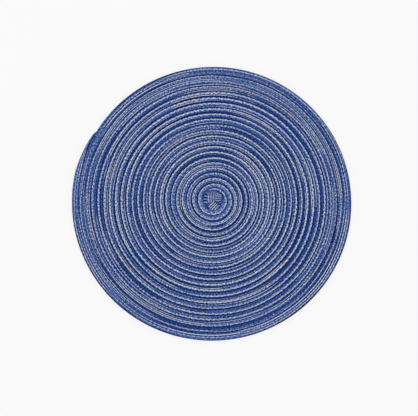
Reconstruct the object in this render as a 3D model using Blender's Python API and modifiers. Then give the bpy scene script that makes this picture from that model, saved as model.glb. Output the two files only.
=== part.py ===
"""Round placemat, wound flat from one long plaited yarn tape.

The tape starts as a small folded pinwheel in the middle, then winds outward clockwise, seen from above.
Each turn is a rounded rib, the turns are joined along the grooves between them, and the tail of the
tape tapers away at the rim. Metres, +Z up. The origin is in the flat underside, at the middle of the
mat's bounding box.
"""

import math

import bmesh
import bpy
from mathutils import Vector

# The winding. A place along it is given in turns, clockwise from +X.
TAPE_WIDTH = 0.00775  # one full turn's step outward
FIRST_EDGE = 0.02675  # radius of the tape's outer edge at 0 turns
TIGHTENING = 0.00275  # how much closer the first turns lie together in all
TIGHT_TURNS = 3.0  # turns over which they ease to the full width
SEGMENTS = 64  # straight steps in one turn
START_TURN = -1.4132
END_TURN = START_TURN + 23
HEAD_TURNS = 0.13  # over which the tape widens as it leaves the folded start
HEAD_WIDTH = 0.0088  # the first turn has no turn inside it, so it shows wider
SQUEEZE_TURNS = 0.10  # over which it narrows again, where the second turn sets in
TAIL_TURNS = 0.050  # length of the tapering tail
TAIL_TAPER = 0.45  # under 1 makes the tail blunt

# The last turn has no turn over its edge, so it shows wider, most of all just past the tail's tip.
RIM_SPREAD = 0.0033
SPREAD_TURNS = 0.06  # over which it spreads, just before the tip
SPREAD_LOSS = 0.55  # share of the spread that is gone one turn later

# The winding is a little uneven. It is wider along X, and its middle lies off the middle of the outer
# turns, less and less toward the rim.
OUTER_RADIUS = 0.1885
OVAL = 0.0012
CENTRE_DRIFT = Vector((0.0009, 0.0034))

# Heights above the surface the mat lies on, and the rib that each turn makes from groove to groove.
GROOVE_HEIGHT = 0.0025
BODY_HEIGHT = 0.0034
CREST_HEIGHT = 0.0040
RIM_HEIGHT = 0.0016
RIM_TUCK = 0.0008
RIB = (  # share of the tape's width, height
    {"across": 0.00, "height": GROOVE_HEIGHT},
    {"across": 0.30, "height": BODY_HEIGHT},
    {"across": 0.58, "height": CREST_HEIGHT},
    {"across": 1.00, "height": GROOVE_HEIGHT},
)

# The folded start of the tape: short strips that cross each other inside the first turn.
HUB_HEIGHT = 0.0028
FOLD_RIB = 0.0006  # height of a strip's lengthwise ribs
FOLD_DEPTH = 0.0022  # how far a strip reaches down into the mat
FOLDS = (  # middle from the winding's own centre, size across and along the ribs, turn, top, ribs
    {"x": 0.0078, "y": -0.0060, "across": 0.0070, "along": 0.0060, "angle": 45, "top": 0.0029, "ribs": 2},
    {"x": -0.0102, "y": 0.0032, "across": 0.0136, "along": 0.0062, "angle": 88, "top": 0.0030, "ribs": 4},
    {"x": 0.0004, "y": -0.0084, "across": 0.0110, "along": 0.0114, "angle": -44, "top": 0.0032, "ribs": 3},
    {"x": 0.0057, "y": 0.0046, "across": 0.0130, "along": 0.0110, "angle": 91, "top": 0.0034, "ribs": 5},
    {"x": -0.0034, "y": 0.0037, "across": 0.0092, "along": 0.0142, "angle": 1, "top": 0.0036, "ribs": 4},
)

YARN_BLUE = (0.105, 0.145, 0.285, 1.0)
WELD = 1e-5


def clear_scene():
    for obj in list(bpy.data.objects):
        bpy.data.objects.remove(obj, do_unlink=True)


def new_collection(name):
    collection = bpy.data.collections.new(name)
    bpy.context.scene.collection.children.link(collection)
    return collection


def new_object(name, bm, collection):
    mesh = bpy.data.meshes.new(name)
    bm.to_mesh(mesh)
    bm.free()
    obj = bpy.data.objects.new(name, mesh)
    collection.objects.link(obj)
    return obj


def yarn_material():
    material = bpy.data.materials.new("blue_yarn")
    material.use_nodes = True
    shader = material.node_tree.nodes["Principled BSDF"]
    shader.inputs["Base Color"].default_value = YARN_BLUE
    shader.inputs["Roughness"].default_value = 0.9
    shader.inputs["Metallic"].default_value = 0.0
    return material


def ease(share):
    """From 0 to 1, slow at both ends."""
    share = min(max(share, 0.0), 1.0)
    return share * share * (3 - 2 * share)


def full_edge(turn):
    """Radius of the tape's outer edge before the tail is tapered."""
    wound = FIRST_EDGE + TAPE_WIDTH * turn - TIGHTENING * (1 - math.exp(-turn / TIGHT_TURNS))
    free = turn - (END_TURN - 1)
    return wound + RIM_SPREAD * ease(1 + free / SPREAD_TURNS) * (1 - SPREAD_LOSS * free)


def outer_edge(turn):
    """Radius of the tape's outer edge. Along the tail it comes down to the turn inside it."""
    left = min(max((END_TURN - turn) / TAIL_TURNS, 0.0), 1.0)
    inner = full_edge(turn - 1)
    return inner + (full_edge(turn) - inner) * left**TAIL_TAPER


def inner_edge(turn):
    """Radius of the tape's inner edge, which is the outer edge one turn before."""
    if turn >= START_TURN + 1:
        return outer_edge(turn - 1)
    grown = ease((turn - START_TURN) / HEAD_TURNS)
    squeezed = ease((turn - START_TURN - 1 + SQUEEZE_TURNS) / SQUEEZE_TURNS)
    wound = full_edge(turn) - full_edge(turn - 1)
    return outer_edge(turn) - (HEAD_WIDTH + (wound - HEAD_WIDTH) * squeezed) * grown


def place(radius, turn, height):
    """A point of the mat, with its middle off centre and its outer turns slightly oval."""
    angle = -2 * math.pi * turn
    share = radius / OUTER_RADIUS
    oval = OVAL * share**1.5 * math.cos(2 * angle)
    drift = CENTRE_DRIFT * (1 - share**2)
    x = drift.x + (radius + oval) * math.cos(angle)
    y = drift.y + (radius + oval) * math.sin(angle)
    return Vector((x, y, height))


def rib_point(turn, step):
    inner = inner_edge(turn)
    width = outer_edge(turn) - inner
    fullness = min(width / TAPE_WIDTH, 1.0)
    height = GROOVE_HEIGHT + (step["height"] - GROOVE_HEIGHT) * fullness
    return place(inner + width * step["across"], turn, height)


def boundary_loops(bm):
    """The open edges, as the loop round the middle and the loop round the rim."""
    middle, rim = [], []
    limit = (full_edge(START_TURN) + OUTER_RADIUS) / 2
    for edge in bm.edges:
        if edge.is_boundary:
            near = max(vert.co.xy.length for vert in edge.verts) < limit
            (middle if near else rim).append(edge)
    return middle, rim


def wind_tape(bm):
    """A flat grid wound into a spiral, each turn welded to the next along the groove."""
    turns = END_TURN - START_TURN
    bmesh.ops.create_grid(bm, x_segments=round(turns * SEGMENTS), y_segments=len(RIB) - 1, size=0.5)
    for vert in bm.verts:
        turn = START_TURN + (vert.co.x + 0.5) * turns
        step = RIB[round((vert.co.y + 0.5) * (len(RIB) - 1))]
        vert.co = rib_point(turn, step)
    bmesh.ops.remove_doubles(bm, verts=bm.verts[:], dist=WELD)


def close_middle(bm, edges):
    filled = bmesh.ops.edgeloop_fill(bm, edges=edges)
    poked = bmesh.ops.poke(bm, faces=filled["faces"])
    poked["verts"][0].co = place(0, 0, HUB_HEIGHT)


def close_rim_and_underside(bm, edges):
    for vert in {vert for edge in edges for vert in edge.verts}:
        vert.co.z = RIM_HEIGHT
    walls = bmesh.ops.extrude_edge_only(bm, edges=edges)["geom"]
    for vert in (item for item in walls if isinstance(item, bmesh.types.BMVert)):
        vert.co.xy *= 1 - RIM_TUCK / OUTER_RADIUS
        vert.co.z = 0
    lower = [item for item in walls if isinstance(item, bmesh.types.BMEdge) and item.is_boundary]
    bmesh.ops.edgeloop_fill(bm, edges=lower)


def make_fold(fold, number, centre, collection):
    """One ribbed strip of the folded start, as a sheet that Solidify thickens downward."""
    bm = bmesh.new()
    lines = 2 * fold["ribs"]
    bmesh.ops.create_grid(bm, x_segments=lines, y_segments=1, size=0.5)
    for vert in bm.verts:
        on_rib = round((vert.co.x + 0.5) * lines) % 2 == 1
        vert.co.z = FOLD_RIB if on_rib else 0
        vert.co.x *= fold["across"]
        vert.co.y *= fold["along"]
    strip = new_object(f"fold_{number}", bm, collection)
    strip.location = (centre.x + fold["x"], centre.y + fold["y"], fold["top"])
    strip.rotation_euler.z = math.radians(fold["angle"])
    solidify = strip.modifiers.new("thickness", "SOLIDIFY")
    solidify.thickness = FOLD_DEPTH
    solidify.offset = -1
    strip.hide_render = True
    strip.display_type = "WIRE"


def make_mat(collection, folds):
    bm = bmesh.new()
    wind_tape(bm)
    middle, rim = boundary_loops(bm)
    close_middle(bm, middle)
    close_rim_and_underside(bm, rim)
    bmesh.ops.recalc_face_normals(bm, faces=bm.faces[:])
    lows = [min(vert.co[axis] for vert in bm.verts) for axis in range(2)]
    highs = [max(vert.co[axis] for vert in bm.verts) for axis in range(2)]
    shift = Vector((-(lows[0] + highs[0]) / 2, -(lows[1] + highs[1]) / 2, 0))
    bmesh.ops.translate(bm, verts=bm.verts[:], vec=shift)
    mat = new_object("wound_mat", bm, collection)
    mat.data.shade_smooth()
    mat.data.set_sharp_from_angle(angle=math.radians(40))
    mat.data.materials.append(yarn_material())
    centre = place(0, 0, 0) + shift
    for number, fold in enumerate(FOLDS, start=1):
        make_fold(fold, number, centre, folds)
    union = mat.modifiers.new("folded_start", "BOOLEAN")
    union.operation = "UNION"
    union.operand_type = "COLLECTION"
    union.collection = folds
    return mat


clear_scene()
make_mat(new_collection("placemat"), new_collection("folded_strips"))
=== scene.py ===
# %% [markdown]
# # A round placemat, wound flat from one plaited tape
#
# The mat is a single tape of blue and grey-white yarn. It starts as a small folded pinwheel, winds
# outward clockwise for 23 turns, and tapers away at the rim. Each cell makes or finishes one part of
# it. Lengths are metres and +Z is up. The solid model of the mat comes first and is only a guide:
# every piece below is laid on its form.

# %% Load the frame
import math

import bpy
import numpy as np
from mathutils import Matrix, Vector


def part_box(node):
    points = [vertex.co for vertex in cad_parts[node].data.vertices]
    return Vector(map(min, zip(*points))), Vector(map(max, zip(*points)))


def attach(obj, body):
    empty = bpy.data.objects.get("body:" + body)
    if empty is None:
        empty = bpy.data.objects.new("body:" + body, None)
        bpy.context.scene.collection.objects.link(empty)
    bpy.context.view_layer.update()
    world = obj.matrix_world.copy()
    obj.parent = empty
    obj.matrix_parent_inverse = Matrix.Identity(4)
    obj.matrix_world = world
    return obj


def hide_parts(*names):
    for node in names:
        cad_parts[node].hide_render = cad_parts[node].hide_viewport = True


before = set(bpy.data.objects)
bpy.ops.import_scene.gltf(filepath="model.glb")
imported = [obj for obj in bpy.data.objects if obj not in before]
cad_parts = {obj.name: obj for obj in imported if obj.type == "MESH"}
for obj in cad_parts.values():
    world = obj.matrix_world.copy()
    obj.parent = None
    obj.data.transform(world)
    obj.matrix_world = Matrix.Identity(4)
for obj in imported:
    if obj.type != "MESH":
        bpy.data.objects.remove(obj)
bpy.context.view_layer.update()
print("solid model:", *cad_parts)

# %% [markdown]
# ## Camera
#
# The photograph looks straight down. One pixel of it is 1.37 mm on the mat, and the mat's middle lies a
# little right of and above the middle of the picture. A long lens from a good height keeps the sides
# of the mat from leaning, as in a catalogue picture.

# %% Place the camera
PICTURE_WIDTH, PICTURE_HEIGHT = 418, 416
PIXEL = 0.0013718  # width of a pixel, at the top of the mat
MAT_PIXEL_X, MAT_PIXEL_Y = 211.6, 203.8  # the mat's middle, from the picture's upper left corner
MAT_TOP = 0.004
CAMERA_HEIGHT = 1.6

camera_x = (PICTURE_WIDTH / 2 - MAT_PIXEL_X) * PIXEL
camera_y = (MAT_PIXEL_Y - PICTURE_HEIGHT / 2) * PIXEL
bpy.ops.object.camera_add(location=(camera_x, camera_y, CAMERA_HEIGHT), rotation=(0, 0, 0))
camera = bpy.context.object
camera.data.lens = camera.data.sensor_width * (CAMERA_HEIGHT - MAT_TOP) / (PICTURE_WIDTH * PIXEL)
bpy.context.scene.camera = camera
print("camera over", round(camera_x, 4), round(camera_y, 4), "lens", round(camera.data.lens, 1), "mm")

# %% [markdown]
# ## The winding
#
# Every yarn follows the same spiral, so the spiral is a formula. A place on the tape is its turn,
# clockwise from +X, and its share across the tape's width, from the inner edge at 0 to the outer edge
# at 1. The formula repeats the solid model's sizes: the first turns lie closer, the very first one
# shows wider, the last one spreads because nothing holds its outer edge, and the whole winding is
# slightly oval and a little off centre.

# %% Sizes of the winding
TAPE_WIDTH = 0.00775  # one full turn's step outward
FIRST_EDGE = 0.02675  # radius of the tape's outer edge at 0 turns
TIGHTENING = 0.00275  # how much closer the first turns lie together in all
TIGHT_TURNS = 3.0  # turns over which they ease to the full width
START_TURN = -1.4132
END_TURN = START_TURN + 23
HEAD_TURNS = 0.13  # over which the tape widens as it leaves the folded start
HEAD_WIDTH = 0.0088  # the first turn has no turn inside it, so it shows wider
SQUEEZE_TURNS = 0.10  # over which it narrows again, where the second turn sets in
TAIL_TURNS = 0.050  # length of the tapering tail
TAIL_TAPER = 0.45  # under 1 makes the tail blunt
RIM_SPREAD = 0.0033  # how much wider the last turn shows, just past the tail's tip
SPREAD_TURNS = 0.06  # over which it spreads, just before the tip
SPREAD_LOSS = 0.55  # share of the spread that is gone one turn later
OUTER_RADIUS = 0.1885
OVAL = 0.0012  # how far the rim bulges along X, and sinks along Y
DRIFT_X, DRIFT_Y = 0.0009, 0.0034  # the start of the winding, from the middle of its outer turns
print(round(END_TURN - START_TURN), "turns, from", START_TURN, "to", END_TURN)


# %% Edges of the tape
def ease(share):
    """From 0 to 1, slow at both ends."""
    share = np.clip(share, 0.0, 1.0)
    return share * share * (3 - 2 * share)


def full_edge(turn):
    """Radius of the tape's outer edge, with no taper at the tail."""
    edge = FIRST_EDGE + TAPE_WIDTH * turn - TIGHTENING * (1 - np.exp(-turn / TIGHT_TURNS))
    free = turn - (END_TURN - 1)
    return edge + RIM_SPREAD * ease(1 + free / SPREAD_TURNS) * (1 - SPREAD_LOSS * free)


def outer_edge(turn):
    left = np.clip((END_TURN - turn) / TAIL_TURNS, 0.0, 1.0)
    inner = full_edge(turn - 1)
    return inner + (full_edge(turn) - inner) * left**TAIL_TAPER


def inner_edge(turn):
    """The outer edge of the turn before. The first turn has none inside it, so there it shows wider."""
    squeezed = ease((turn - START_TURN - 1 + SQUEEZE_TURNS) / SQUEEZE_TURNS)
    wound = full_edge(turn) - full_edge(turn - 1)
    grown = ease((turn - START_TURN) / HEAD_TURNS)
    first = outer_edge(turn) - (HEAD_WIDTH + (wound - HEAD_WIDTH) * squeezed) * grown
    return np.where(turn < START_TURN + 1, first, outer_edge(turn - 1))


def tape_width(turn):
    return outer_edge(turn) - inner_edge(turn)


def turned(radius, turn):
    """x and y of points at a radius and a turn, about the outer turns' centre."""
    angle = -2 * np.pi * turn
    oval = OVAL * np.abs(radius / OUTER_RADIUS) ** 1.5 * np.cos(2 * angle)
    drift = 1 - (radius / OUTER_RADIUS) ** 2
    x = DRIFT_X * drift + (radius + oval) * np.cos(angle)
    y = DRIFT_Y * drift + (radius + oval) * np.sin(angle)
    return np.stack([x, y], axis=-1)


print("the tape is", round(float(tape_width(10.0)) * 1000, 2), "mm wide at its tenth turn")

# %% Centre the winding on the solid model
RIM_STEPS = 4000

rim_turns = np.linspace(END_TURN - 1, END_TURN, RIM_STEPS)
rim_line = turned(outer_edge(rim_turns), rim_turns)
solid_low, solid_high = (np.array(corner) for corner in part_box("wound_mat"))
centring = (solid_low + solid_high)[:2] / 2 - (rim_line.min(axis=0) + rim_line.max(axis=0)) / 2
hub = turned(np.zeros(1), np.zeros(1))[0] + centring
print("the winding starts about", hub.round(4))


def on_tape(turn, across):
    """x and y of places on the tape."""
    return turned(inner_edge(turn) + tape_width(turn) * across, turn) + centring


# %% Measure along the tape
LENGTH_STEPS = 60001

measured_turns = np.linspace(START_TURN, END_TURN, LENGTH_STEPS)
measured_steps = np.linalg.norm(np.diff(on_tape(measured_turns, 0.5), axis=0), axis=1)
measured_lengths = np.concatenate([[0.0], np.cumsum(measured_steps)])
TAPE_LENGTH = measured_lengths[-1]
print("the tape is", round(TAPE_LENGTH, 2), "m long")


def turn_at(length):
    return np.interp(length, measured_lengths, measured_turns)


def length_at(turn):
    return np.interp(turn, measured_turns, measured_lengths)


# %% [markdown]
# ## Dyed lengths
#
# The yarns were dyed in lengths before they were plaited, so each one runs from pale to deep blue and
# back along the tape. Where all the yarns are blue at once the mat shows a solid blue arc. Those arcs
# are charted, a line for each, and every yarn has its own random lengths besides. Dye is a number: 0
# is grey-white, and 1 is the deepest navy.
# The same number also carries painted shade: in the groove, in the eye of each bend, and in the gap where the
# tape leaves the folded start.

# %% Chart of the solid blue arcs
# Row of the mat, clockwise from +X in degrees, how blue. Past 360 an arc goes on into the next row.
BLUE_ARCS = (
    {"row": 1, "start": 270, "stop": 380, "blue": 0.9},
    {"row": 2, "start": 50, "stop": 130, "blue": 1.0},
    {"row": 4, "start": 255, "stop": 335, "blue": 1.0},
    {"row": 5, "start": 15, "stop": 140, "blue": 0.9},
    {"row": 5, "start": 185, "stop": 325, "blue": 0.7},
    {"row": 6, "start": 255, "stop": 315, "blue": 0.9},
    {"row": 7, "start": 120, "stop": 160, "blue": 1.0},
    {"row": 7, "start": 195, "stop": 215, "blue": 0.9},
    {"row": 7, "start": 300, "stop": 320, "blue": 0.9},
    {"row": 8, "start": 165, "stop": 235, "blue": 0.7},
    {"row": 8, "start": 300, "stop": 350, "blue": 0.9},
    {"row": 9, "start": 120, "stop": 155, "blue": 0.9},
    {"row": 10, "start": 270, "stop": 325, "blue": 0.9},
    {"row": 10, "start": 340, "stop": 360, "blue": 0.9},
    {"row": 11, "start": 0, "stop": 255, "blue": 0.7},
    {"row": 11, "start": 285, "stop": 300, "blue": 0.9},
    {"row": 11, "start": 335, "stop": 350, "blue": 0.9},
    {"row": 12, "start": 260, "stop": 305, "blue": 1.0},
    {"row": 12, "start": 300, "stop": 360, "blue": 0.7},
    {"row": 13, "start": 308, "stop": 345, "blue": 0.9},
    {"row": 14, "start": 5, "stop": 50, "blue": 0.9},
    {"row": 15, "start": 0, "stop": 60, "blue": 0.6},
    {"row": 16, "start": 0, "stop": 60, "blue": 0.9},
    {"row": 16, "start": 290, "stop": 425, "blue": 0.9},
    {"row": 17, "start": 65, "stop": 115, "blue": 0.7},
    {"row": 17, "start": 115, "stop": 160, "blue": 1.0},
    {"row": 17, "start": 160, "stop": 200, "blue": 0.7},
    {"row": 17, "start": 280, "stop": 295, "blue": 0.9},
    {"row": 18, "start": 40, "stop": 100, "blue": 0.8},
    {"row": 18, "start": 170, "stop": 225, "blue": 0.8},
    {"row": 19, "start": 20, "stop": 45, "blue": 0.7},
    {"row": 19, "start": 290, "stop": 350, "blue": 0.35},
    {"row": 20, "start": 10, "stop": 125, "blue": 1.0},
    {"row": 20, "start": 300, "stop": 355, "blue": 0.5},
)
STARTS_OVER, FADES_OVER = 0.014, 0.040  # lengths over which the blue sets in and ends
DEEPEST = 0.745  # dye of the bluest arcs


def dyed_run(lengths, start, stop):
    """1 between two places along the tape, with a short start and a longer fade."""
    return ease((lengths - start) / STARTS_OVER) * ease((stop - lengths) / FADES_OVER)


def charted_blue(lengths):
    blue = np.zeros_like(lengths)
    for arc in BLUE_ARCS:
        start, stop = (length_at(arc["row"] + arc[end] / 360) for end in ("start", "stop"))
        blue = np.maximum(blue, DEEPEST * arc["blue"] * dyed_run(lengths, start, stop))
    return blue


print(len(BLUE_ARCS), "solid blue arcs")

# %% Random lengths, wanders and flecks
SEED = 5
PALEST_RUN = 0.75  # the palest of a yarn's blue lengths, where the bluest is 1
FLECK = 0.0013  # length of a fleck

rng = np.random.default_rng(SEED)


def random_blue(lengths, share, shortest, longest):
    """Blue lengths of one yarn, which take up a share of the tape."""
    blue = np.zeros_like(lengths)
    start = -rng.uniform(0, longest)
    while start < TAPE_LENGTH:
        run = rng.uniform(shortest, longest)
        blue = np.maximum(blue, rng.uniform(PALEST_RUN, 1.0) * dyed_run(lengths, start, start + run))
        start += run + rng.uniform(shortest, longest) * (1 / share - 1)
    return blue


def drifting(lengths, step, amount):
    """A smooth random wander along the tape, about one bend in each step."""
    knots = rng.normal(0, amount, round(TAPE_LENGTH / step) + 3)
    place = lengths / step
    below = np.floor(place).astype(int)
    return knots[below] + (knots[below + 1] - knots[below]) * ease(place - below)


def flecked(lengths, amount):
    """Fine flecks in the dye. Each dark one has a pale one beside it, as plies twist past each other."""
    knots = np.diff(rng.normal(0, amount, round(TAPE_LENGTH / FLECK) + 4))
    return np.interp(lengths / FLECK, np.arange(len(knots)), knots)


# %% [markdown]
# ## Yarn
#
# A yarn is a long thin tube. It could be modelled as twisted fibres, but fourteen metres of them would
# fill the computer's memory, so the tube has four sides and smooth shading, and its twist and fibres are
# left to the material. A curve with a round bevel makes the tube, and each of its points has its
# own thickness. Converted to a mesh, it keeps a ring of four corners for each point, in order, so
# what the material needs to know is written on the corners: how blue they are with the painted shade
# they carry, how far along the tape, and on which side of the yarn.

# %% Helpers for meshes
RING = 4  # corners round a yarn


def select_only(obj):
    bpy.ops.object.select_all(action="DESELECT")
    obj.select_set(True)
    bpy.context.view_layer.objects.active = obj


def corners_of(obj):
    """Places of a mesh's corners, a row for each."""
    places = np.empty(len(obj.data.vertices) * 3)
    obj.data.vertices.foreach_get("co", places)
    return places.reshape(-1, 3)


def move_corners(obj, places):
    obj.data.vertices.foreach_set("co", np.asarray(places).ravel())
    obj.data.update()


def note(obj, name, values):
    """Write one number on each corner, for the material to read."""
    attribute = obj.data.attributes.new(name, "FLOAT", "POINT")
    attribute.data.foreach_set("value", np.asarray(values, dtype=np.float32))


def triangles_in(obj):
    return sum(len(face.vertices) - 2 for face in obj.data.polygons)


# %% Lay a yarn
def yarn_tube(name, path, thickness):
    """A mesh tube along a path, with a ring of corners for each point."""
    curve = bpy.data.curves.new(name, "CURVE")
    curve.dimensions = "3D"
    curve.twist_mode = "Z_UP"
    curve.bevel_depth = 1.0
    curve.bevel_resolution = 0
    spline = curve.splines.new("POLY")
    spline.points.add(len(path) - 1)
    spline.points.foreach_set("co", np.column_stack([path, np.ones(len(path))]).ravel())
    spline.points.foreach_set("radius", thickness)
    tube = bpy.data.objects.new(name, curve)
    bpy.context.scene.collection.objects.link(tube)
    select_only(tube)
    bpy.ops.object.convert(target="MESH")
    return bpy.context.object


def side_of_yarn(yarn, path, thickness):
    """For each corner, from -1 to 1, how far it lies to the left of the yarn's middle."""
    rings = corners_of(yarn).reshape(len(path), RING, 3)
    forward = np.gradient(path[:, :2], axis=0)
    sideways = np.column_stack([-forward[:, 1], forward[:, 0]])
    sideways /= np.linalg.norm(sideways, axis=1)[:, None]
    offsets = (rings[:, :, :2] - path[:, None, :2]) / np.asarray(thickness)[:, None, None]
    return np.einsum("nrc,nc->nr", offsets, sideways).ravel()


def lay_yarn(name, path, thickness, notes):
    """A yarn along a path. Thickness and each of the notes have one value for each point of it."""
    yarn = yarn_tube(name, path, thickness)
    note(yarn, "side", side_of_yarn(yarn, path, thickness))
    for key, values in notes.items():
        note(yarn, key, np.repeat(values, RING))
    bpy.ops.object.mode_set(mode="EDIT")
    bpy.ops.mesh.select_all(action="SELECT")
    bpy.ops.mesh.fill_holes(sides=RING)
    bpy.ops.mesh.normals_make_consistent(inside=False)
    bpy.ops.object.mode_set(mode="OBJECT")
    bpy.ops.object.shade_smooth()
    return yarn


# %% [markdown]
# ## The lanes of the tape
#
# Across the tape lie six yarns, each in its lane. Three make the flat body. Two lie side by side, wave
# in and out together with every stitch, and make the pale ridge, with a dark eye inside each bend; the
# eye's darkness is painted shade on the body yarns beside it. One lies outside the ridge, down in the
# groove, and is mostly dark, partly by its own navy dye and partly by painted shade of the groove. The
# strands of a real plait cross over and under each other, but from above only these lines show, so
# each yarn keeps to its lane.
#
# The tape changes as it winds, so the ridge's sizes, the dyes and the painted shade are given at a few
# turns, and change evenly between them. Soon after the folded start the body lanes get a painted
# shadow, of the deep gap where the first turn leaves the fold. Where the second turn sets in, the ridge
# slips inward. In the last three turns it is pulled flat, and pale and blue mix evenly.

# %% Lanes of the body and the groove
# The eye column is painted shade: it darkens a lane in the open eye of each bend, and a negative value
# lightens it there.
LANES = (  # share of the ridge's place, half width, top, how much the eyes and the solid arcs darken it
    {"name": "body_inner", "across": 0.155, "half": 0.00052, "top": 0.0028, "eye_shade": 0.00, "solid": 1.00},
    {"name": "body_middle", "across": 0.400, "half": 0.00052, "top": 0.0032, "eye_shade": 0.05, "solid": 0.95},
    {"name": "body_outer", "across": 0.645, "half": 0.00052, "top": 0.0035, "eye_shade": 0.10, "solid": 0.60},
    {"name": "groove", "across": 1.410, "half": 0.00056, "top": 0.0029, "eye_shade": -0.06, "solid": 1.00},
)
print("lanes:", *(lane["name"] for lane in LANES), "and the ridge's two")

# %% Dye of the lanes, with painted shade
LANE_TURNS = (-1.25, -1.12, -0.95, -0.3, 2, 6, 10, 14, 17.5, 20.5)  # the turns at which values hold
# Painted shade in this table: at -1.12 turns the body lanes are darker, body_outer past the deepest navy, as
# the shadow of the deep gap where the first turn leaves the folded start. The groove lane's navy is partly
# its own dye and partly the groove's shade.
LANE_BLUES_AND_SHADE = {
    "body_inner": (0.60, 0.70, 0.62, 0.40, 0.88, 0.42, 0.42, 0.78, 0.42, 0.42),
    "body_middle": (0.60, 0.90, 0.44, 0.42, 0.57, 0.40, 0.50, 0.54, 0.48, 0.40),
    "body_outer": (0.60, 1.25, 0.28, 0.20, 0.36, 0.84, 0.96, 0.66, 0.86, 0.44),
    "ridge_inner": (0.34, 0.40, 0.45, 0.45, 0.36, 0.21, 0.28, 0.20, 0.27, 0.36),
    "ridge_outer": (0.18, 0.20, 0.14, 0.10, 0.12, 0.09, 0.13, 0.11, 0.14, 0.37),
    "groove": (0.80, 0.80, 0.78, 0.80, 0.88, 0.96, 0.90, 0.93, 0.88, 0.72),
}
LANE_SWAPS = {  # how far pale and blue lanes change places, in most turns and in the flat last ones
    "body_inner": (0.30, 0.28),
    "body_middle": (-0.30, -0.28),
    "body_outer": (0.30, 0.28),
    "ridge_inner": (-0.15, -0.26),
    "ridge_outer": (0.08, 0.24),
    "groove": (-0.12, -0.18),
}

# %% Form of the ridge
RIDGE_ACROSS = (0.640, 0.640, 0.640, 0.640, 0.650, 0.618, 0.593, 0.554, 0.589, 0.617)
RIDGE_HALF = (0.00052, 0.00052, 0.00062, 0.00064, 0.00062, 0.00055, 0.00055, 0.00056, 0.00055, 0.00056)
RIDGE_APART = (0.00100, 0.00100, 0.00112, 0.00112, 0.00112, 0.00104, 0.00104, 0.00108, 0.00106, 0.00108)
RIDGE_TOP = 0.0041
WAVE_REACH = (0.00014, 0.00014, 0.00023, 0.00024, 0.00019, 0.00021, 0.00023, 0.00025, 0.00025, 0.00016)
WAVE_LENGTH = 0.00695  # one stitch
WAVE_RISE = 0.00018
print("stitches in a metre of tape:", round(1 / WAVE_LENGTH))

# %% [markdown]
# ## Along the tape
#
# What changes along the tape is worked out once, at close steps, for all the yarns. They sway
# together, because the tape itself does. Their blue lengths are partly shared too: in some stretches
# pale and blue lanes change places, and elsewhere one yarn gets bluer as its neighbour gets paler.

# %% Follow the tape
STEP = 0.0009  # from one point of a yarn to the next
FLAT_FROM, FLAT_OVER = 18.8, 1.2  # the turn where the ridge starts to flatten, and how many it takes
EARLY_FROM, EARLY_OVER = -0.5, 1.5  # the turn where the early look starts to fade, and how many it takes
LAST_OVER = 0.1  # turns over which the last turn sets in
SLIP, SLIP_TURN, SLIP_OVER = 0.20, -0.34, 0.34  # how far the ridge slips inward, and about which turn

lengths = np.linspace(STEP, TAPE_LENGTH - STEP, round(TAPE_LENGTH / STEP))
turns = turn_at(lengths)
widths = tape_width(turns)
fullness = widths / TAPE_WIDTH
flatness = ease((turns - FLAT_FROM) / FLAT_OVER)
early = 1 - ease((turns - EARLY_FROM) / EARLY_OVER)
last_turn = ease((turns - END_TURN + 1) / LAST_OVER)
slipped = ease(1 - np.abs(turns - SLIP_TURN) / SLIP_OVER)
ridge_across = np.interp(turns, LANE_TURNS, RIDGE_ACROSS) - SLIP * slipped
print(len(lengths), "points along each yarn")


def lane_path(across, sideways, height):
    """Points in a lane, moved sideways by a distance, at a height."""
    places = on_tape(turns, across + sideways / np.maximum(widths, STEP))
    return np.column_stack([places, np.broadcast_to(height, turns.shape)])


# %% Sway and waves
CLOSE_SWAY, LONG_SWAY = (0.030, 0.00010), (0.150, 0.00026)  # a wander's step and amount
WAVE_SLACK = (0.040, 0.35)  # stitches are not all of one length

sway = drifting(lengths, *CLOSE_SWAY) + drifting(lengths, *LONG_SWAY)
swing = 2 * np.pi * lengths / WAVE_LENGTH + drifting(lengths, *WAVE_SLACK)
print("stitches along the tape:", round((swing[-1] - swing[0]) / (2 * np.pi)))

# %% Shared blue lengths
FREE_FROM, FREE_OVER = 0.8, 2.4  # where past the start the dyes come to differ, and over how many turns
FLAT_LOSS = 0.1  # share of those differences, and of the flecks, that is lost in the flat turns
SWAP_RUNS = (0.5, 0.06, 0.24)  # share of the tape, shortest and longest length
TRADE_RUNS = (0.35, 0.06, 0.30)
DEEPER = 0.005  # every lane is this much bluer than LANE_BLUES_AND_SHADE says

solid_blue = charted_blue(lengths)
freedom = ease((turns - START_TURN - FREE_FROM) / FREE_OVER) * (1 - FLAT_LOSS * flatness)
swapped = 2 * random_blue(lengths, *SWAP_RUNS) - 1
trades = [random_blue(lengths, *TRADE_RUNS) for _ in range(len(LANES) + 1)]
print("solid blue on", round(100 * float(np.mean(solid_blue > DEEPEST / 2))), "% of the tape")


# A lane's dye, with the painted shade of the groove and of the gap at the folded start.
def lane_blue_and_shade(name):
    usual, flat = LANE_SWAPS[name]
    swap = (usual + (flat - usual) * flatness) * freedom
    return np.interp(turns, LANE_TURNS, LANE_BLUES_AND_SHADE[name]) + DEEPER + swap * swapped


# %% [markdown]
# ## Laying the yarns
#
# A lane's yarn is laid in one go, from the folded start to the tail. It is never quite even: it gets
# thicker and thinner, rises and sinks, and strays sideways, each by a small wander of its own. The
# ridge's two yarns ride over each other at every stitch, and bulge where they bend.

# %% Lay the body and groove yarns
THICK_AND_THIN = (0.0018, 0.05)
STRAY = (0.006, 0.00004)
FLAT_YARN_LIMITS = (0.2, 1.25)  # how thin and thick a yarn gets where the tape narrows and spreads
SUNKEN = 0.6  # share of its height that a yarn keeps where the tape has no width
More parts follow.
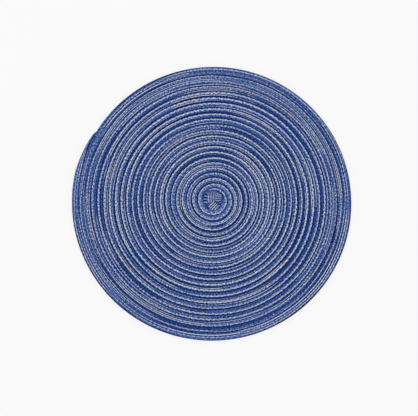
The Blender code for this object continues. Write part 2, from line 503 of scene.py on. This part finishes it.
# The eye's painted shade: how sharply it gathers at each bend, and how much more it shows in the first turns
# and the flat last ones.
EYE_SHARPNESS = 3
EARLY_EYE, FLAT_EYE = 2.2, 1.4  # the eyes show more in the first turns, and in the flat last ones
TRADE = 0.36  # how much bluer a yarn gets where its neighbour gets paler
FLECKS_BODY = 0.15
ALONG_SHIFT = 3.7  # keeps the fibres of one yarn from lining up with its neighbour's
RIM_ROOM = 0.05  # leaves the edge of the ground in sight past the last yarn


def lay_flat_yarn(lane, number):
    thickness = lane["half"] * np.clip(fullness, *FLAT_YARN_LIMITS) * (1 + drifting(lengths, *THICK_AND_THIN))
    lift = drifting(lengths, *STRAY)
    height = lane["top"] * np.clip(SUNKEN + (1 - SUNKEN) * fullness, 0, 1) - lane["half"] + lift
    stray = sway + drifting(lengths, *STRAY)
    # Painted shade in the open eye of each bend, added to the lane's dye.
    bends = np.clip(np.sin(swing), 0, 1) ** EYE_SHARPNESS
    eye_shade = lane["eye_shade"] * (1 + EARLY_EYE * early + FLAT_EYE * flatness) * bends
    traded = TRADE * (trades[number] - trades[number - 1]) * freedom
    dye = np.maximum(lane_blue_and_shade(lane["name"]) + traded, lane["solid"] * solid_blue) + eye_shade
    dye = dye + flecked(lengths, FLECKS_BODY) * (1 - FLAT_LOSS * flatness)
    notes = {"dye": dye, "along": lengths + number * ALONG_SHIFT, "mesh": flatness}
    past_ridge = lane["across"] > 1
    across = lane["across"] * ridge_across * (1 - RIM_ROOM * past_ridge * last_turn)
    return lay_yarn(lane["name"] + "_yarn", lane_path(across, stray, height), thickness, notes)


flat_yarns = [lay_flat_yarn(lane, number) for number, lane in enumerate(LANES, start=1)]
print("flat yarns:", sum(triangles_in(yarn) for yarn in flat_yarns), "triangles")

# %% Lay the ridge yarns
REACH_CHANGE = (0.012, 0.15)  # no two bends are alike
RIDGE_LIMITS = (0.2, 1.15)
KNOB = 0.09  # how much a yarn bulges at each bend
RISE_LOSS, HEIGHT_LOSS = 0.5, 0.08  # shares that are lost in the flat turns
OWN_RUNS, OWN_BLUE = (0.16, 0.04, 0.18), 0.22  # a ridge yarn's own bluer lengths
HEAD_BLUE, HEAD_BLUE_TURNS = 0.60, 0.17  # the ridge is blue where it leaves the folded start
FLECKS_RIDGE, FLECKS_LOSS = 0.19, 0.35

at_head = 1 - ease((turns - START_TURN) / HEAD_BLUE_TURNS)


def lay_ridge_yarn(name, side):
    """One of the ridge's pair. Side is 1 for the outer and -1 for the inner."""
    apart, half, reach = (
        np.interp(turns, LANE_TURNS, values) for values in (RIDGE_APART, RIDGE_HALF, WAVE_REACH)
    )
    reach = reach * (1 + drifting(lengths, *REACH_CHANGE))
    sideways = sway + side * apart / 2 * fullness + reach * np.sin(swing)
    lift = side * WAVE_RISE * np.sin(swing) * (1 - RISE_LOSS * flatness)
    height = RIDGE_TOP * (1 - HEIGHT_LOSS * flatness) - half + lift - WAVE_RISE / 2
    thickness = half * np.clip(fullness, *RIDGE_LIMITS) * (1 + KNOB * np.cos(2 * swing))
    own = OWN_BLUE * random_blue(lengths, *OWN_RUNS) * freedom
    dye = lane_blue_and_shade(name) + HEAD_BLUE * at_head + own
    dye = dye + flecked(lengths, FLECKS_RIDGE) * (1 - FLECKS_LOSS * flatness)
    notes = {"dye": dye, "along": lengths - side * ALONG_SHIFT / 2, "mesh": flatness}
    return lay_yarn(name + "_yarn", lane_path(ridge_across, sideways, height), thickness, notes)


ridge_yarns = [lay_ridge_yarn("ridge_inner", -1), lay_ridge_yarn("ridge_outer", 1)]
print("ridge yarns:", sum(triangles_in(yarn) for yarn in ridge_yarns), "triangles")

# %% [markdown]
# ## The woven ground
#
# Under the yarns lies the tape's ground: the cloth that holds them, which also makes the underside and
# the edge. It is one closed sheet. A long grid is wound along the spiral for the top and another
# for the underside, and corners that meet in the grooves and at the rim are merged, so that the turns
# are joined as the real ones are. The underside doesn't show in the photograph. It is made as the back
# of such a tape looks: flatter and bluer, pale under the ridge and darkest in the grooves.

# %% Sizes of the ground
GROUND_STEPS = 160  # steps of the grids in one turn
GROOVE_TOP = 0.0019
RIM_MIDDLE = 0.0012
TOP_ROWS = (
    {"across": 0.00, "height": GROOVE_TOP},
    {"across": 0.13, "height": 0.00245},
    {"across": 0.28, "height": 0.00280},
    {"across": 0.42, "height": 0.00300},
    {"across": 0.50, "height": 0.00325},
    {"across": 0.58, "height": 0.00330},
    {"across": 0.68, "height": 0.00325},
    {"across": 0.78, "height": 0.00265},
    {"across": 0.92, "height": 0.00225},
    {"across": 1.00, "height": GROOVE_TOP},
)
UNDER_ROWS = (
    {"across": 0.00, "height": 0.00065},
    {"across": 0.14, "height": 0.00012},
    {"across": 0.36, "height": 0.00000},
    {"across": 0.64, "height": 0.00000},
    {"across": 0.86, "height": 0.00012},
    {"across": 1.00, "height": 0.00065},
)
TAPE_MAP = "tape_map"


# %% Wind the ground
def map_tape(face, along, across):
    """A map that gives each corner's length along the tape and share across it."""
    corner = np.empty(len(face.data.loops), dtype=np.int32)
    face.data.loops.foreach_get("vertex_index", corner)
    layer = face.data.uv_layers.new(name=TAPE_MAP)
    layer.data.foreach_set("uv", np.column_stack([along, across])[corner].astype(np.float32).ravel())
    while len(face.data.uv_layers) > 1:
        face.data.uv_layers.remove(face.data.uv_layers[0])


def wind_face(name, rows):
    """One face of the ground: a grid wound along the spiral, with its place on the tape as a map."""
    steps = round((END_TURN - START_TURN) * GROUND_STEPS)
    bpy.ops.object.select_all(action="DESELECT")
    bpy.ops.mesh.primitive_grid_add(x_subdivisions=steps, y_subdivisions=len(rows) - 1, size=2)
    face = bpy.context.object
    face.name = name
    grid = corners_of(face)
    turn = START_TURN + np.round((grid[:, 0] + 1) / 2 * steps) / GROUND_STEPS
    row = np.round((grid[:, 1] + 1) / 2 * (len(rows) - 1)).astype(int)
    across = np.array([entry["across"] for entry in rows])[row]
    height = np.array([entry["height"] for entry in rows])[row]
    edge = rows[0]["height"]
    height = edge + (height - edge) * np.clip(tape_width(turn) / TAPE_WIDTH, 0, 1)
    on_rim = (turn > END_TURN - 1 - 0.5 / GROUND_STEPS) & (across == 1)
    height = np.where(on_rim, RIM_MIDDLE, height)
    move_corners(face, np.column_stack([on_tape(turn, across), height]))
    along = length_at(turn)
    note(face, "along", along)
    map_tape(face, along, across)
    return face, along, across


ground, ground_along, ground_across = wind_face("wound_ground", TOP_ROWS)
underside, under_along, under_across = wind_face("underside", UNDER_ROWS)
print("two faces of", triangles_in(ground), "and", triangles_in(underside), "triangles")

# %% Dye the ground
GROUND_BLUE = 0.95
GROOVE_PALE, GROOVE_SHARE = 0.12, 0.2  # paler within this share of the tape's edges
HUB_PALE, HUB_INSIDE_PALE = 0.06, 0.20  # paler in the first turn, and more so at its inner edge
HUB_TURNS, INSIDE_SHARE = 0.5, 0.6
UNDER_BLUE, UNDER_OWN = 0.45, 0.35  # the underside's least dye, and how much its own lengths add
UNDER_RUNS = (0.45, 0.06, 0.50)
UNDER_LANES = (0.35, 0.12, -0.12, -0.34, 0.16, 0.35)  # how much bluer each row of the underside is

in_groove = np.clip(1 - np.minimum(ground_across, 1 - ground_across) / GROOVE_SHARE, 0, 1)
at_hub = ease((START_TURN + 1 - turn_at(ground_along)) / HUB_TURNS)
on_inside = np.clip(1 - ground_across / INSIDE_SHARE, 0, 1)
hub_pale = at_hub * (HUB_PALE + HUB_INSIDE_PALE * on_inside)
note(ground, "dye", GROUND_BLUE - GROOVE_PALE * in_groove - hub_pale)
own_blue = random_blue(lengths, *UNDER_RUNS)
under_blue = np.interp(under_along, lengths, np.maximum(solid_blue, UNDER_BLUE + UNDER_OWN * own_blue))
under_lanes = np.interp(under_across, [row["across"] for row in UNDER_ROWS], UNDER_LANES)
note(underside, "dye", under_blue + under_lanes)
print("underside's mean dye:", round(float(np.mean(under_blue + under_lanes)), 2))

# %% Close the ground
MERGE = 1e-6

select_only(ground)
underside.select_set(True)
bpy.ops.object.join()
bpy.ops.object.mode_set(mode="EDIT")
bpy.ops.mesh.select_all(action="SELECT")
bpy.ops.mesh.remove_doubles(threshold=MERGE)
bpy.ops.mesh.fill_holes(sides=0)
bpy.ops.mesh.normals_make_consistent(inside=False)
bpy.ops.object.mode_set(mode="OBJECT")
bpy.ops.object.shade_smooth()
print("ground:", triangles_in(ground), "triangles")

# %% [markdown]
# ## The folded start
#
# Before the tape can be wound, its end is folded over itself into a small pinwheel. Each fold shows as
# a short strip with its yarns side by side. A strip is a small grid, thickened, with a pale yarn along
# each of its ribs, and it stops at the first turn of the tape. The first five lie in the places that
# the solid model gives them, two of them a little larger. The last two lie low, half under the others.

# %% Sizes of the folds
FOLDS = (  # middle from the hub, size across and along the ribs, turn in degrees, top, ribs
    {"x": 0.0080, "y": -0.0068, "across": 0.0090, "along": 0.0074, "angle": 45, "top": 0.0029, "ribs": 3},
    {"x": -0.0106, "y": 0.0035, "across": 0.0164, "along": 0.0066, "angle": 88, "top": 0.0030, "ribs": 4},
    {"x": 0.0004, "y": -0.0084, "across": 0.0112, "along": 0.0112, "angle": -44, "top": 0.0032, "ribs": 4},
    {"x": 0.0060, "y": 0.0046, "across": 0.0130, "along": 0.0110, "angle": 91, "top": 0.0034, "ribs": 5},
    {"x": -0.0034, "y": 0.0037, "across": 0.0092, "along": 0.0142, "angle": 1, "top": 0.0036, "ribs": 4},
    {"x": -0.0090, "y": -0.0072, "across": 0.0120, "along": 0.0104, "angle": 52, "top": 0.00285, "ribs": 5},
    {"x": -0.0010, "y": 0.0128, "across": 0.0046, "along": 0.0120, "angle": 86, "top": 0.0029, "ribs": 2},
)
FOLD_BLUE = (1.20, 1.05, 1.50, 0.92, 0.88, 0.92, 0.95)  # dye of each strip, between its ribs
FOLD_PALE = (0.52, 0.34, 0.12, 0.28, 0.25, 0.54, 0.44)  # dye of its ribs
FOLD_LIMIT = 0.0134  # how far from the hub a strip reaches
FOLD_THICKNESS = 0.0016
STRIP_STEPS = 14


# %% Places on the folds
def fold_ends(fold, across):
    """Where a line along a strip starts and stops: at the strip's ends, or at the first turn of the tape."""
    angle = math.radians(fold["angle"])
    x = fold["x"] + across * math.cos(angle)
    y = fold["y"] + across * math.sin(angle)
    nearest = y * math.cos(angle) - x * math.sin(angle)
    reach = np.sqrt(np.maximum(nearest**2 - x**2 - y**2 + FOLD_LIMIT**2, 0))
    half = fold["along"] / 2
    return np.maximum(-half, -nearest - reach), np.minimum(half, reach - nearest)


def fold_place(fold, across, along):
    """x and y on a folded strip, from distances across and along its ribs."""
    angle = math.radians(fold["angle"])
    x = across * math.cos(angle) - along * math.sin(angle)
    y = across * math.sin(angle) + along * math.cos(angle)
    return np.column_stack([hub[0] + fold["x"] + x, hub[1] + fold["y"] + y])


# %% Make the folds
STRIP_DROP = 0.0004  # how far a strip's ends bend down
END_SHARPNESS, TAPER_SHARPNESS = 4, 6  # a higher power keeps the bend or the taper closer to the ends
RIB_SHARE = 0.24  # half width of a rib's yarn, of the ribs' spacing
RIB_LIFT, RIB_DROP = 0.00025, 0.0005  # of a rib's yarn: above the strip in the middle, down at the ends
RIB_BEND, RIB_BENDS = 0.00012, 9  # how far and how fast it wavers
RIB_TAPER = 0.45  # share of its width that it loses at the ends
SHORTEST_RIB = 0.5  # of the spacing: anything shorter is hidden
DYE_SCATTER = 0.10


def make_strip(fold, number, blue):
    bpy.ops.object.select_all(action="DESELECT")
    bpy.ops.mesh.primitive_grid_add(x_subdivisions=2 * fold["ribs"], y_subdivisions=STRIP_STEPS, size=1)
    strip = bpy.context.object
    strip.name = f"folded_strip_{number}"
    grid = corners_of(strip)
    across = grid[:, 0] * fold["across"]
    starts, stops = fold_ends(fold, across)
    along = starts + (grid[:, 1] + 0.5) * (stops - starts)
    drop = STRIP_DROP * (np.abs(grid[:, 1]) * 2) ** END_SHARPNESS
    move_corners(strip, np.column_stack([fold_place(fold, across, along), fold["top"] - drop]))
    note(strip, "dye", np.full(len(across), blue))
    note(strip, "along", along + number)
    note(strip, "side", np.zeros(len(across)))
    solidify = strip.modifiers.new("thickness", "SOLIDIFY")
    solidify.thickness = FOLD_THICKNESS
    solidify.offset = -1
    bpy.ops.object.modifier_apply(modifier=solidify.name)
    bpy.ops.object.shade_smooth()
    return strip


def lay_rib(fold, rib, pale):
    """The yarn on one rib of a strip, or None where the first turn of the tape leaves no room for it."""
    spacing = fold["across"] / fold["ribs"]
    middle = (rib + 0.5) * spacing - fold["across"] / 2
    start, stop = fold_ends(fold, middle)
    if stop - start < SHORTEST_RIB * spacing:
        return None
    line = np.linspace(-0.5, 0.5, STRIP_STEPS + 1)
    along = start + (line + 0.5) * (stop - start)
    across = middle + RIB_BEND * np.sin(RIB_BENDS * line + rib)
    height = fold["top"] + RIB_LIFT - RIB_DROP * (2 * np.abs(line)) ** END_SHARPNESS
    path = np.column_stack([fold_place(fold, across, along), height])
    half = RIB_SHARE * spacing * (1 - RIB_TAPER * (2 * np.abs(line)) ** TAPER_SHARPNESS)
    dye = pale + rng.normal(0, DYE_SCATTER, len(line))
    notes = {"dye": dye, "along": along + rib, "mesh": np.zeros(len(line))}
    return lay_yarn(f"rib_{rib}", path, half, notes)


def make_fold(fold, number, blue, pale):
    strip = make_strip(fold, number, blue)
    ribs = [lay_rib(fold, rib, pale) for rib in range(fold["ribs"])]
    select_only(strip)
    for rib in ribs:
        if rib:
            rib.select_set(True)
    bpy.ops.object.join()
    return strip


folds = [
    make_fold(fold, number, blue, pale)
    for number, (fold, blue, pale) in enumerate(zip(FOLDS, FOLD_BLUE, FOLD_PALE), start=1)
]
print("folds:", sum(triangles_in(fold) for fold in folds), "triangles")

# %% [markdown]
# ## Shader sums
#
# A material's patterns are sums on sockets. This small class wraps a socket, so that a sum is written as
# Python writes it, and each sign adds its Math node.


# %% The class for shader sums
class Shade:
    def __init__(self, tree, socket=None):
        self.tree = tree
        self.socket = socket

    def node(self, kind, settings=None, inputs=None, output=0):
        """Add a node. Its settings come first, then the values or links of its sockets."""
        made = self.tree.nodes.new(kind)
        for name, value in (settings or {}).items():
            if name == "stops":
                self.set_stops(made.color_ramp.elements, value)
            else:
                setattr(made, name, value)
        for name, value in (inputs or {}).items():
            if isinstance(value, Shade):
                self.tree.links.new(value.socket, made.inputs[name])
            else:
                made.inputs[name].default_value = value
        return Shade(self.tree, made.outputs[output])

    @staticmethod
    def set_stops(elements, stops):
        while len(elements) < len(stops):
            elements.new(0.5)
        for element, (place, colour) in zip(elements, stops):
            element.position = place
            element.color = colour

    def maths(self, operation, first, second=0.0):
        return self.node("ShaderNodeMath", {"operation": operation}, {0: first, 1: second})

    def __add__(self, other):
        return self.maths("ADD", self, other)

    def __sub__(self, other):
        return self.maths("SUBTRACT", self, other)

    def __rsub__(self, other):
        return self.maths("SUBTRACT", other, self)

    def __mul__(self, other):
        return self.maths("MULTIPLY", self, other)

    __radd__ = __add__
    __rmul__ = __mul__

    def sine(self):
        return self.maths("SINE", self)

    def noise(self, x, y, z, detail):
        """Noise from 0 to 1 at a place made of three values."""
        place = self.node("ShaderNodeCombineXYZ", None, {"X": x, "Y": y, "Z": z})
        return self.node("ShaderNodeTexNoise", None, {"Vector": place, "Scale": 1.0, "Detail": detail})


# %% [markdown]
# ## Yarn finish
#
# The yarn is matt. Its colour goes from grey-white through heather to navy by how blue it was
# dyed, and by the painted shade that the same number carries. Three things break it up: fibres of other
# shades, a broader mottling that also makes it a little warmer or cooler, and the shadow between its
# twisted plies. The bump has the same fibres and plies. Where the yarn lies flat a fine mesh of stitches
# shows as well.

# %% Colours of the yarn
def linear(red, green, blue):
    """A screen colour, 0 to 255, as the shader counts it."""
    shares = np.array([red, green, blue]) / 255
    curved = np.where(shares > 0.04045, ((shares + 0.055) / 1.055) ** 2.4, shares / 12.92)
    return (*curved.tolist(), 1.0)


# The navy at 1 is the deepest dye, and also the painted shade of the groove and of the gap at the folded
# start.
YARN_COLOURS = (
    (0.00, linear(228, 235, 250)),
    (0.30, linear(131, 154, 200)),
    (0.60, linear(52, 92, 166)),
    (0.80, linear(29, 62, 138)),
    (1.00, linear(8, 22, 64)),
)
TINT = 0.90  # how strongly the yarn is tinted warmer or cooler
WARMTH = 0.88  # how far apart the warmest and coolest tints are
print("yarn colours, by dye:", [place for place, _ in YARN_COLOURS])

# %% The yarn's pattern
FIBRE_ALONG, FIBRE_SIDE, FIBRE_DYE = 900.0, 1.6, 0.5  # how fast the fibres change, by what
MOTTLE_ALONG, MOTTLE_SIDE, WARMTH_SIDE = 300.0, 0.4, 0.5
MOTTLE_LAYER, WARMTH_LAYER = 7.0, 11.0  # keep the two noises apart
FINE, COARSE = 3.0, 2.0  # detail of a noise
PLY_LENGTH, PLY_SLANT = 0.0016, 1.8
MESH_LENGTH = 0.0022
FIBRE_CONTRAST, MOTTLE_CONTRAST, PLY_CONTRAST, MESH_CONTRAST = 0.62, 0.12, 0.04, 0.10
FIBRE_RELIEF, PLY_RELIEF, MESH_RELIEF = 0.7, 0.5, 0.6


def yarn_finish(shade, dye, along, side, mesh):
    """Colour and relief of the yarn, on the material that the shade belongs to."""
    fibres = shade.noise(along * FIBRE_ALONG, side * FIBRE_SIDE, dye * FIBRE_DYE, FINE)
    mottle = shade.noise(along * MOTTLE_ALONG, side * MOTTLE_SIDE, MOTTLE_LAYER, COARSE)
    warmth = shade.noise(along * MOTTLE_ALONG, side * WARMTH_SIDE, WARMTH_LAYER, FINE)
    plies = (along * (2 * math.pi / PLY_LENGTH) + side * PLY_SLANT).sine()
    stitches = (along * (2 * math.pi / MESH_LENGTH)).sine() * mesh
    broken = (fibres - 0.5) * FIBRE_CONTRAST + (mottle - 0.5) * MOTTLE_CONTRAST
    # The dye number, with its painted shade, broken up by fibres, mottling, ply shadow and stitches.
    blue = dye + broken + plies * PLY_CONTRAST + stitches * MESH_CONTRAST
    dyed = shade.node("ShaderNodeValToRGB", {"stops": YARN_COLOURS}, {"Fac": blue})
    warm_or_cool = {0: warmth, 1: (WARMTH, 0.0, -WARMTH), 2: (0.5 - WARMTH / 2, 0.5, 0.5 + WARMTH / 2)}
    tint = shade.node("ShaderNodeVectorMath", {"operation": "MULTIPLY_ADD"}, warm_or_cool)
    # The mix's factor, colours and result go by number, because its sockets share their names.
    mixing = {"data_type": "RGBA", "blend_type": "OVERLAY"}
    tinted = shade.node("ShaderNodeMix", mixing, {0: TINT, 6: dyed, 7: tint}, 2)
    height = plies * PLY_RELIEF + fibres * FIBRE_RELIEF + stitches * MESH_RELIEF
    bump = shade.node("ShaderNodeBump", None, {"Strength": 0.5, "Distance": 0.0002, "Height": height})
    shader = shade.tree.nodes["Principled BSDF"]
    shade.tree.links.new(tinted.socket, shader.inputs["Base Color"])
    shade.tree.links.new(bump.socket, shader.inputs["Normal"])
    shader.inputs["Roughness"].default_value = 0.92
    shader.inputs["Specular IOR Level"].default_value = 0.2


# %% The two yarn materials
GROUND_MESH = 0.5
GROUND_LANES = 7.0  # lanes across the ground


def new_material(name):
    material = bpy.data.materials.new(name)
    material.use_nodes = True
    return material, Shade(material.node_tree)


def read_note(shade, name):
    return shade.node("ShaderNodeAttribute", {"attribute_name": name}, None, "Fac")


yarn_material, shade = new_material("space_dyed_yarn")
yarn_finish(shade, *(read_note(shade, name) for name in ("dye", "along", "side", "mesh")))

ground_material, shade = new_material("woven_ground")
tape_place = shade.node("ShaderNodeUVMap", {"uv_map": TAPE_MAP})
along, across = (shade.node("ShaderNodeSeparateXYZ", None, {"Vector": tape_place}, axis) for axis in "XY")
lane_side = (across * (GROUND_LANES * 2 * math.pi)).sine()
yarn_finish(shade, read_note(shade, "dye"), along, lane_side, GROUND_MESH)

for piece in [*flat_yarns, *ridge_yarns, *folds]:
    piece.data.materials.clear()
    piece.data.materials.append(yarn_material)
ground.data.materials.clear()
ground.data.materials.append(ground_material)
print("nodes in each material:", len(yarn_material.node_tree.nodes), len(ground_material.node_tree.nodes))

# %% [markdown]
# ## Floor and light
#
# The mat lies on a plain white surface in even studio light, with hardly a shadow. On a white floor the
# shadow would be stronger than the photograph's, so the floor is a grey one that glows, and only its
# grey part can be shaded. A bright world gives the even light, and one very large soft lamp gives it
# a side.

# %% The floor
FLOOR_SIZE = 8.0
FLOOR_GAP = 0.0001  # keeps the floor clear of the mat's underside
FLOOR_GREY, FLOOR_GLOW = 0.30, 0.647  # together they make the photograph's near-white

bpy.ops.object.select_all(action="DESELECT")
bpy.ops.mesh.primitive_plane_add(size=FLOOR_SIZE, location=(0, 0, -FLOOR_GAP))
floor = bpy.context.object
floor.name = "floor"
floor_material, shade = new_material("pale_surface")
floor_shader = floor_material.node_tree.nodes["Principled BSDF"]
floor_shader.inputs["Base Color"].default_value = (FLOOR_GREY, FLOOR_GREY, FLOOR_GREY, 1.0)
floor_shader.inputs["Emission Color"].default_value = (1.0, 1.0, 1.0, 1.0)
floor_shader.inputs["Emission Strength"].default_value = FLOOR_GLOW
floor_shader.inputs["Roughness"].default_value = 0.9
floor_shader.inputs["Specular IOR Level"].default_value = 0.0
floor.data.materials.append(floor_material)
print("floor:", FLOOR_SIZE, "m square")

# %% The light
WORLD_STRENGTH = 0.94
LAMP_PLACE = (-0.9, 1.2, 2.0)
LAMP_TURN = (math.radians(-31), math.radians(-22), 0)  # towards the mat
LAMP_SIZE = 2.4
LAMP_WATTS = 7.0

world = bpy.data.worlds.new("studio")
world.use_nodes = True
world.node_tree.nodes["Background"].inputs["Color"].default_value = (1.0, 1.0, 1.0, 1.0)
world.node_tree.nodes["Background"].inputs["Strength"].default_value = WORLD_STRENGTH
bpy.context.scene.world = world
bpy.context.scene.view_settings.view_transform = "Standard"
bpy.ops.object.light_add(type="AREA", location=LAMP_PLACE)
lamp = bpy.context.object
lamp.data.shape = "DISK"
lamp.data.size = LAMP_SIZE
lamp.data.energy = LAMP_WATTS
lamp.rotation_euler = LAMP_TURN
print("world", WORLD_STRENGTH, "and a lamp of", LAMP_WATTS, "W")

# %% [markdown]
# ## What each piece is
#
# Last, each piece is said to ride on the mat's one body, and the solid model is hidden. The mat lies
# flat, so its flat size is the solid's own.

pieces = [ground, *flat_yarns, *ridge_yarns, *folds]
for piece in pieces:
    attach(piece, "root")
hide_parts("wound_mat")
